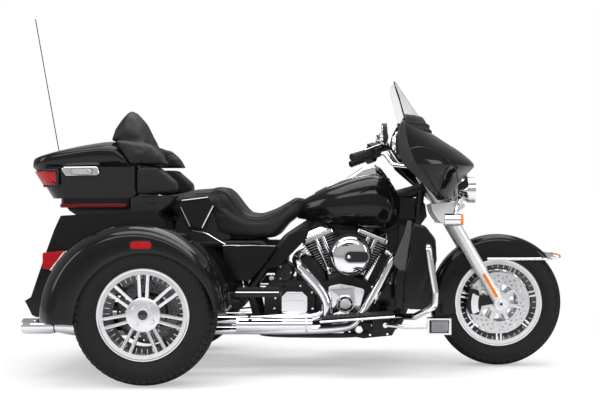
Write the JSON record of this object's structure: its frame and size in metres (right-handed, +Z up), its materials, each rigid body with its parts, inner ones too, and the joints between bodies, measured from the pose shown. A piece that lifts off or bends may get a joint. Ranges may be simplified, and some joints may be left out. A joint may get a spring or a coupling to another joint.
{
  "type": "motorized trike",
  "caption": "Touring motor trike with a V-twin engine, fork-mounted fairing and windshield, padded seat, rear trunk between wide fenders and a top case with backrest",
  "frame": {"origin": "on the ground below the middle of the overall length and width", "axes": "+X forward, +Y to the left, +Z up"},
  "size_m": [2.767, 1.39, 1.8123],
  "materials": {
    "black_paint": "gloss",
    "black_engine": "satin",
    "chrome": "polished",
    "silver_alloy": "machined",
    "disc_steel": "ground",
    "tyre": "matte",
    "seat_cover": "matte",
    "grey_plastic": "matte",
    "rubber": "matte",
    "red_lens": "clear",
    "amber_lens": "clear",
    "clear_glass": "clear"
  },
  "bodies": {
    "chassis": {"frame": "black_engine", "rear_axle": "black_engine", "rear_shocks": "black_engine", "drive_belt": "rubber", "engine_case": "black_engine", "cylinders": "black_engine", "rocker_covers": "chrome", "pushrod_tubes": "chrome", "engine_covers": "chrome", "air_cleaner": "chrome", "primary_case": "chrome", "gearbox": "black_engine", "exhaust_pipes": "chrome", "mufflers": "chrome", "fuel_tank": "black_paint", "tank_console": "chrome", "seat": "seat_cover", "side_panels": "black_paint", "trunk_body": "black_paint", "rear_fenders": "black_paint", "top_case": "black_paint", "speaker_pods": "grey_plastic", "case_latch": "chrome", "antenna": "black_engine", "red_lenses": "red_lens", "lower_fairings": "black_paint", "engine_guard": "chrome", "footboards": "chrome", "foot_controls": "chrome"},
    "steering": {"fork_legs": "chrome", "triple_clamps": "black_paint", "front_axle": "disc_steel", "calipers": "black_paint", "front_fender": "black_paint", "fairing": "black_paint", "inner_fairing": "grey_plastic", "windshield": "clear_glass", "lamp_shells": "chrome", "lamp_lenses": "clear_glass", "amber_lenses": "amber_lens", "handlebar": "chrome", "grips": "rubber", "levers": "chrome", "mirrors": "chrome"},
    "front_wheel": {"front_rim": "silver_alloy", "front_tyre": "tyre", "front_discs": "disc_steel"},
    "rear_wheel_left": {"rear_rim_left": "silver_alloy", "rear_tyre_left": "tyre", "rear_disc_left": "disc_steel"},
    "rear_wheel_right": {"rear_rim_right": "silver_alloy", "rear_tyre_right": "tyre", "rear_disc_right": "disc_steel"},
    "case_lid": {"case_lid": "black_paint", "backrest": "seat_cover"},
    "trunk_door": {"trunk_door": "black_paint"}
  },
  "joints": [
    {"name": "steering", "type": "hinge", "parent": "chassis", "child": "steering", "pos_m": [0.74637, 0, 0.886], "axis": [-0.4384, 0, 0.8988], "range_deg": [-35, 35]},
    {"name": "front_wheel_spin", "type": "hinge", "parent": "steering", "child": "front_wheel", "pos_m": [1.0635, 0, 0.32], "axis": [0, 1, 0], "continuous": true},
    {"name": "rear_wheel_left_spin", "type": "hinge", "parent": "chassis", "child": "rear_wheel_left", "pos_m": [-0.6065, 0.575, 0.3235], "axis": [0, 1, 0], "continuous": true},
    {"name": "rear_wheel_right_spin", "type": "hinge", "parent": "chassis", "child": "rear_wheel_right", "pos_m": [-0.6065, -0.575, 0.3235], "axis": [0, 1, 0], "continuous": true},
    {"name": "case_lid_hinge", "type": "hinge", "parent": "chassis", "child": "case_lid", "pos_m": [-0.9365, 0.332, 1], "axis": [-1, 0, 0], "range_deg": [0, 70]},
    {"name": "trunk_door_hinge", "type": "hinge", "parent": "chassis", "child": "trunk_door", "pos_m": [-1.16433, 0, 0.448], "axis": [0, -1, 0], "range_deg": [0, 95]}
  ]
}
